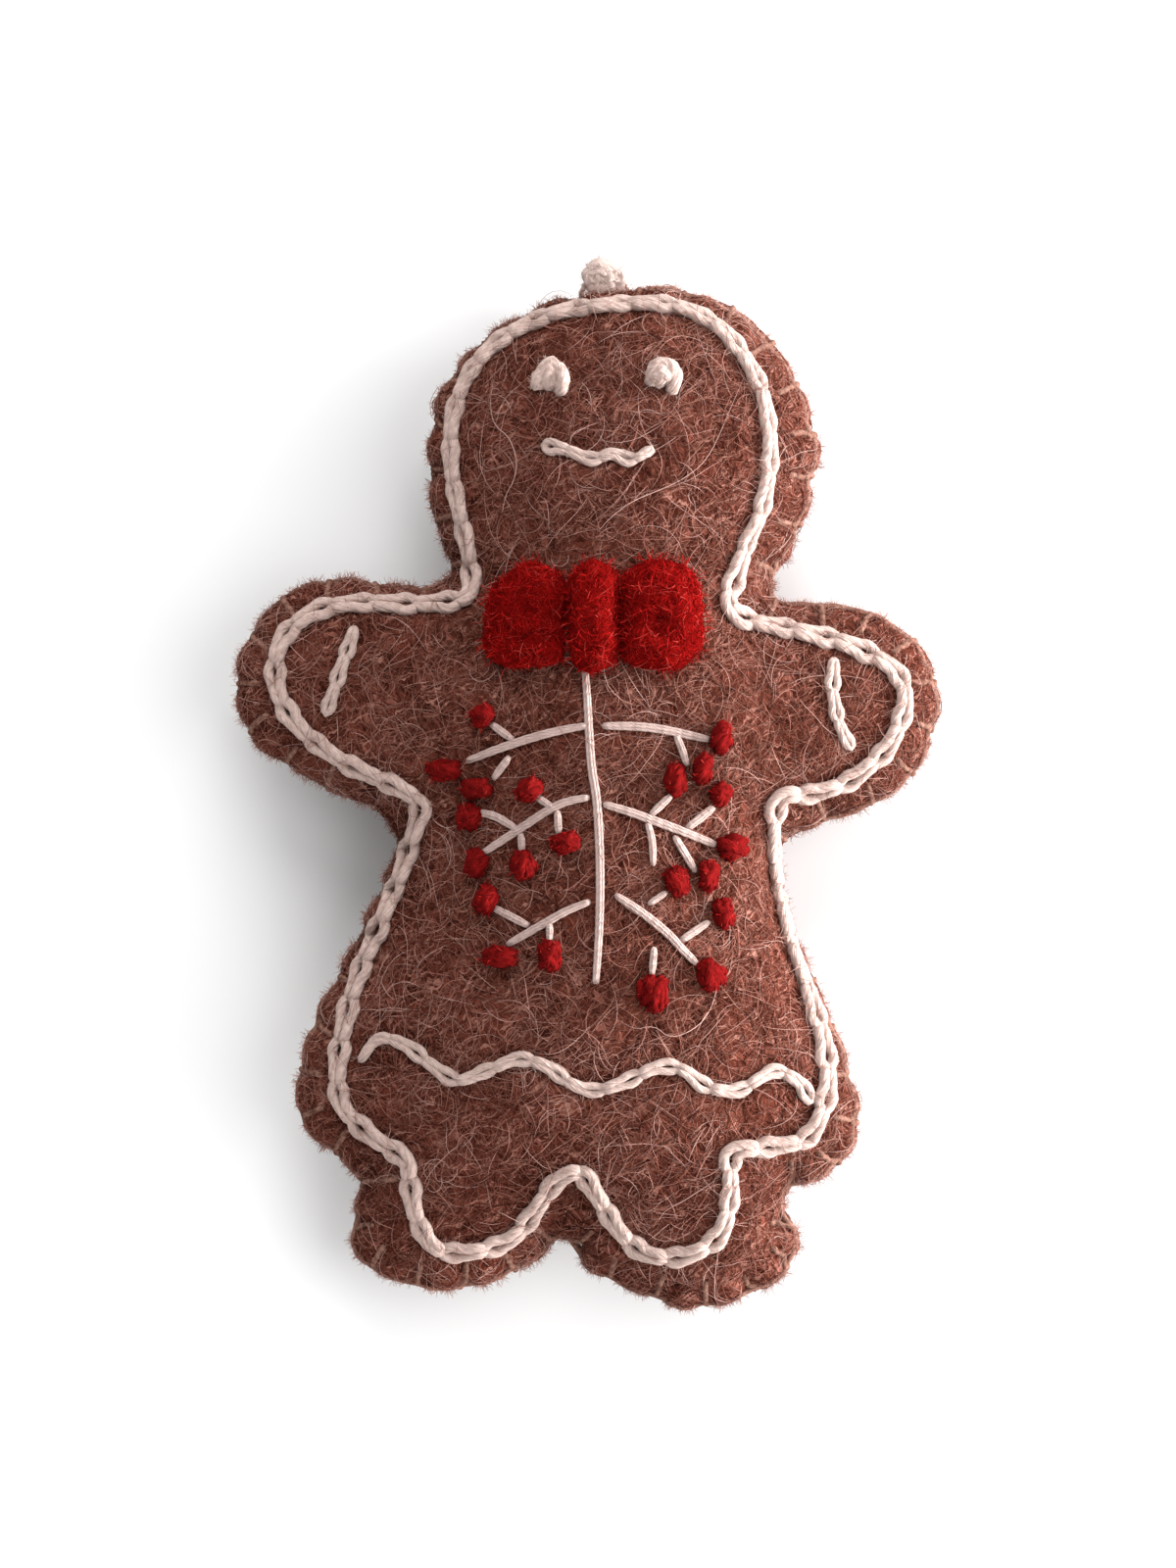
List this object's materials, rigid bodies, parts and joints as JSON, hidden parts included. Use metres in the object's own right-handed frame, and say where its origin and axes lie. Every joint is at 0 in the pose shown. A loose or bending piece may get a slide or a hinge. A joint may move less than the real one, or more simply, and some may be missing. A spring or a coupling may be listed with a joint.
{
  "type": "felt christmas ornament",
  "caption": "Stuffed felt gingerbread-figure ornament with chain-stitched outline, embroidered berry sprig, red wool bow and a cord loop that swings out to hang it.",
  "frame": {"origin": "under the middle of the ornament, at the height of the flat on its back that it lies on", "axes": "+X to the right of the face, +Y towards the top of the head, +Z out of the embroidered front"},
  "size_m": [0.0734, 0.108, 0.0241],
  "materials": {
    "felt": "matte fuzzy wool felt",
    "stuffing": "loose wool fibre",
    "edge_thread": "matte stranded cotton",
    "cream_thread": "matte stranded cotton",
    "red_wool": "fuzzy wool",
    "red_thread": "stranded cotton with a slight sheen",
    "cord": "twisted cotton cord"
  },
  "bodies": {
    "ornament": {"front_panel": "felt", "back_panel": "felt", "stuffing": "stuffing", "edge_stitching": "edge_thread", "outline_chain": "cream_thread", "left_eye": "cream_thread", "right_eye": "cream_thread", "mouth": "cream_thread", "left_cuff": "cream_thread", "right_cuff": "cream_thread", "hem": "cream_thread", "sprig_stem": "cream_thread", "branch_1": "cream_thread", "branch_2": "cream_thread", "branch_3": "cream_thread", "branch_4": "cream_thread", "branch_5": "cream_thread", "branch_6": "cream_thread", "twig_1": "cream_thread", "twig_2": "cream_thread", "twig_3": "cream_thread", "twig_4": "cream_thread", "twig_5": "cream_thread", "twig_6": "cream_thread", "twig_7": "cream_thread", "twig_8": "cream_thread", "twig_9": "cream_thread", "twig_10": "cream_thread", "twig_11": "cream_thread", "twig_12": "cream_thread", "twig_13": "cream_thread", "twig_14": "cream_thread", "twig_15": "cream_thread", "twig_16": "cream_thread", "bow_left_loop": "red_wool", "bow_knot": "red_wool", "bow_right_loop": "red_wool", "berry_1": "red_thread", "berry_2": "red_thread", "berry_3": "red_thread", "berry_4": "red_thread", "berry_5": "red_thread", "berry_6": "red_thread", "berry_7": "red_thread", "berry_8": "red_thread", "berry_9": "red_thread", "berry_10": "red_thread", "berry_11": "red_thread", "berry_12": "red_thread", "berry_13": "red_thread", "berry_14": "red_thread", "berry_15": "red_thread", "berry_16": "red_thread", "berry_17": "red_thread", "berry_18": "red_thread", "berry_19": "red_thread", "berry_20": "red_thread", "berry_21": "red_thread", "hanger_knot": "cream_thread"},
    "hanging_loop": {"hanging_loop": "cord"}
  },
  "joints": [
    {"name": "loop_swing", "type": "hinge", "parent": "ornament", "child": "hanging_loop", "pos_m": [0.00178, 0.05173, 0.00695], "axis": [1, 0, 0], "range_deg": [0, 165]}
  ]
}
